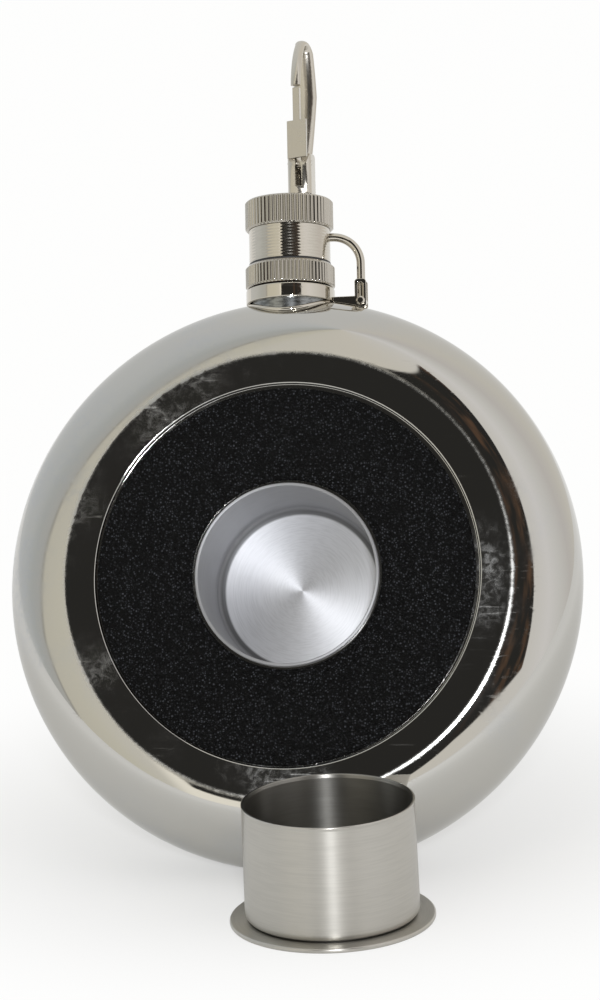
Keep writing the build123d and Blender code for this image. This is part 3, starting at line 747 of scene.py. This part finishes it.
# Cup
cup_corners = [
    (0, foot_thick, 0), (cup_low_radius, foot_thick, 1.4), (cup_high_radius, cup_rim_low, 0.6),
    (cup_lip_radius, cup_top, 0.22), (cup_lip_radius - cup_sheet, cup_top, 0.22),
    (cup_high_radius - cup_sheet, cup_rim_low, 0.6),
    (cup_low_radius - cup_sheet, foot_thick + cup_sheet, 0.9), (0, foot_thick + cup_sheet, 0),
]
cup = turned("cup", cup_corners, 224, put=on_floor, steps=8)
fit(cup, "cup", "brushed_steel", cup_satin, "cup_body")
foot_corners = [(0, 0, 0), (foot_radius, 0, 0.36), (foot_radius, foot_thick, 0.36), (0, foot_thick, 0)]
fit(turned("cup_foot", foot_corners, 224, put=on_floor), "cup", "brushed_steel", cup_satin, "cup_base")

# Floor
reach = np.linspace(-3000, 3000, 9)
floor_grid = np.stack(np.meshgrid(reach, reach, [cup_place[2]], indexing="xy"), -1)[:, :, 0]
floor = surface("floor", floor_grid, np.broadcast_to(upright, floor_grid.shape), wrap_columns=False)
floor_paint, tree, shader, place = finish("floor_paint", Roughness=0.9, Specular_IOR_Level=0.0)
paper = blended(tree, noise(tree, place, 3.0), (0.83, 0.83, 0.825, 1), (0.86, 0.86, 0.855, 1))
tree.links.new(paper, shader.inputs["Base Color"])

# Away from the object, what the camera sees of the floor and what the metal shows of it come up to white.
# Nearer the object they stay darker: a painted shade round it.
ray = node(tree, "LightPath").outputs
away = vector(tree, "LENGTH", place, output="Value")
met = maths(tree, "MAXIMUM", ray["Is Glossy Ray"], ray["Is Transmission Ray"])
met = maths(tree, "MULTIPLY", met, between(tree, away, 0.04, 0.42, 0.18, 0.85))
seen = maths(tree, "MULTIPLY", ray["Is Camera Ray"], between(tree, away, 0.03, 0.12, 0.3, 0.97))
lift = maths(tree, "MAXIMUM", seen, met)
white = node(tree, "Emission", {"Color": (1, 1, 0.995, 1), "Strength": 1.0}).outputs[0]
mixed = node(tree, "MixShader", {0: lift, 1: shader.outputs[0], 2: white}).outputs[0]
tree.links.new(mixed, tree.nodes["Material Output"].inputs["Surface"])
floor.data.materials.append(floor_paint)

# Light tent: the world's colour by direction, with the dark opening that the camera looks in through
world = bpy.data.worlds.new("light_tent")
bpy.context.scene.world = world
world.use_nodes = True
tree = world.node_tree
way = node(tree, "TexCoord").outputs["Generated"]
parts = node(tree, "SeparateXYZ", {0: way}).outputs
turn = maths(tree, "ARCTAN2", parts["X"], maths(tree, "MULTIPLY", parts["Y"], -1.0))
turn = maths(tree, "DEGREES", turn)
height = maths(tree, "DEGREES", maths(tree, "ARCSINE", parts["Z"]))


def traced(value, low, high, points, tall):
    """A value in degrees carried through straight runs between points of (degrees in, degrees out)."""
    curve = tree.nodes.new("ShaderNodeFloatCurve")
    line = curve.mapping.curves[0]
    for number, (degrees, out) in enumerate(points):
        x, y = (degrees - low) / (high - low), out / tall
        if number < 2:
            line.points[number].location = (x, y)
        else:
            line.points.new(x, y)
    for point in line.points:
        point.handle_type = "VECTOR"
    curve.mapping.update()
    tree.links.new(between(tree, value, low, high, smooth=False), curve.inputs["Value"])
    return maths(tree, "MULTIPLY", curve.outputs["Value"], tall)


# The fold in the left wall leans over, so the wall's colours are drawn along it
fold_line = [(0, 12), (2, 10), (10, 1), (19, 0), (26, 0), (35, 4), (41, 10), (47, 18), (53, 23), (90, 25)]
fold = traced(height, 0, 90, fold_line, 30)
bent = maths(tree, "SUBTRACT", turn, maths(tree, "MULTIPLY", fold, between(tree, turn, -18.0, -38.0)))
walls = node(tree, "ValToRGB", {0: between(tree, bent, -180.0, 180.0, smooth=False)})
stops = [
    (-180, (0.80, 0.80, 0.79)), (-125, (0.74, 0.76, 0.77)), (-95, (0.70, 0.72, 0.72)),
    (-80, (0.62, 0.64, 0.63)), (-66, (0.62, 0.62, 0.60)), (-63.6, (0.46, 0.45, 0.41)),
    (-61, (0.79, 0.76, 0.66)), (-40, (0.83, 0.80, 0.69)), (-28, (0.86, 0.83, 0.75)),
    (0, (0.90, 0.86, 0.78)), (46, (0.93, 0.91, 0.88)), (64, (0.99, 0.97, 0.97)),
    (84, (0.89, 0.88, 0.86)), (107, (0.79, 0.76, 0.74)), (136, (0.84, 0.81, 0.75)),
    (180, (0.80, 0.80, 0.79)),
]
for number, (degrees, colour) in enumerate(stops):
    position = degrees / 360 + 0.5
    stop = walls.color_ramp.elements[number] if number < 2 else walls.color_ramp.elements.new(position)
    stop.position, stop.color = position, (*colour, 1)

# The dark opening, between a lower and an upper edge and two upright sides, brown at its right
low_edge = traced(turn, -40, 50, [(-40, 10), (-6, 4), (9, 4), (16, 9), (26, 10), (50, 8)], 90)
high_edge = traced(turn, -40, 50, [(-40, 50), (-32, 50), (-20, 51.5), (0, 57), (36, 70), (50, 73)], 90)
above = between(tree, maths(tree, "SUBTRACT", height, low_edge), -0.6, 0.6)
below = between(tree, maths(tree, "SUBTRACT", high_edge, height), -0.6, 0.6)
sides = between(tree, turn, -20.5, -19.5)
sides = maths(tree, "MULTIPLY", sides, between(tree, turn, 42.0, 43.0, 1.0, 0.0))
opening = maths(tree, "MULTIPLY", maths(tree, "MULTIPLY", above, below), sides)
brown = between(tree, noise(tree, way, 9.0, 3.0), 0.45, 0.7)
brown = maths(tree, "MULTIPLY", brown, between(tree, turn, 12.0, 24.0))
room = blended(tree, brown, (0.034, 0.033, 0.031, 1), (0.14, 0.085, 0.055, 1))

# The tent is brightest just outside the opening, on its left and at its top left
left_glow = between(tree, turn, -25.0, -20.5)
left_glow = maths(tree, "MULTIPLY", left_glow, between(tree, height, 44.0, 52.0, 1.0, 0.0))
left_glow = maths(tree, "MULTIPLY", left_glow, between(tree, turn, -19.0, -15.0, 1.0, 0.0))
top_glow = between(tree, maths(tree, "SUBTRACT", height, high_edge), 0.6, 4.5, 1.0, 0.0)
top_glow = maths(tree, "MULTIPLY", top_glow, between(tree, turn, -14.0, 4.0, 1.0, 0.0))
top_glow = maths(tree, "MULTIPLY", top_glow, between(tree, turn, -26.0, -21.0))
glow = maths(tree, "MAXIMUM", left_glow, top_glow)
lit = blended(tree, glow, walls.outputs["Color"], (1.25, 1.2, 1.08, 1))
tree.links.new(blended(tree, opening, lit, room), tree.nodes["Background"].inputs["Color"])

# Lamp just over the camera
lamp = bpy.data.lights.new("lamp", "AREA")
lamp.shape, lamp.size, lamp.energy, lamp.color = "DISK", 0.11, 4.6, (0.95, 0.97, 1.0)
lamp_turn, lamp_rise, lamp_distance = radians(10.0), radians(19.5), 1.1
lamp_way = np.array((sin(lamp_turn) * cos(lamp_rise), -cos(lamp_turn) * cos(lamp_rise), sin(lamp_rise)))
shine = bpy.data.objects.new("lamp", lamp)
bpy.context.scene.collection.objects.link(shine)
side = np.array((cos(lamp_turn), sin(lamp_turn), 0))
aim = np.eye(4)
aim[:3, 0], aim[:3, 1], aim[:3, 2] = side, np.cross(lamp_way, side), lamp_way
aim[:3, 3] = lamp_distance * lamp_way
shine.matrix_world = Matrix(aim.tolist())

# Camera: a metre from the flask's middle, with the photograph's turn, height, roll and aim
turn_to, rise_to, tilt = radians(8.84), radians(15.89), radians(-2.65)
focal_pixels, pixels_up, pixels_side = 5333, 84.35, 3.87
aim_up, aim_side = atan(pixels_up / focal_pixels), atan(pixels_side / focal_pixels)
back = np.array((sin(turn_to) * cos(rise_to), -cos(turn_to) * cos(rise_to), sin(rise_to)))
right = np.array((cos(turn_to), sin(turn_to), 0))
up = np.cross(back, right)
eye_place = np.round(body_middle, 6) + back
right, up = cos(tilt) * right + sin(tilt) * up, cos(tilt) * up - sin(tilt) * right
back, up = cos(aim_up) * back - sin(aim_up) * up, cos(aim_up) * up + sin(aim_up) * back
back, right = cos(aim_side) * back - sin(aim_side) * right, cos(aim_side) * right + sin(aim_side) * back
lens = bpy.data.cameras.new("camera")
lens.lens, lens.sensor_width, lens.sensor_height = 192, 36, 36
camera = bpy.data.objects.new("camera", lens)
bpy.context.scene.collection.objects.link(camera)
stance = np.eye(4)
stance[:3, 0], stance[:3, 1], stance[:3, 2], stance[:3, 3] = right, up, back, eye_place
camera.matrix_world = Matrix(stance.tolist())
bpy.context.scene.camera = camera
bpy.context.scene.view_settings.view_transform = "Standard"
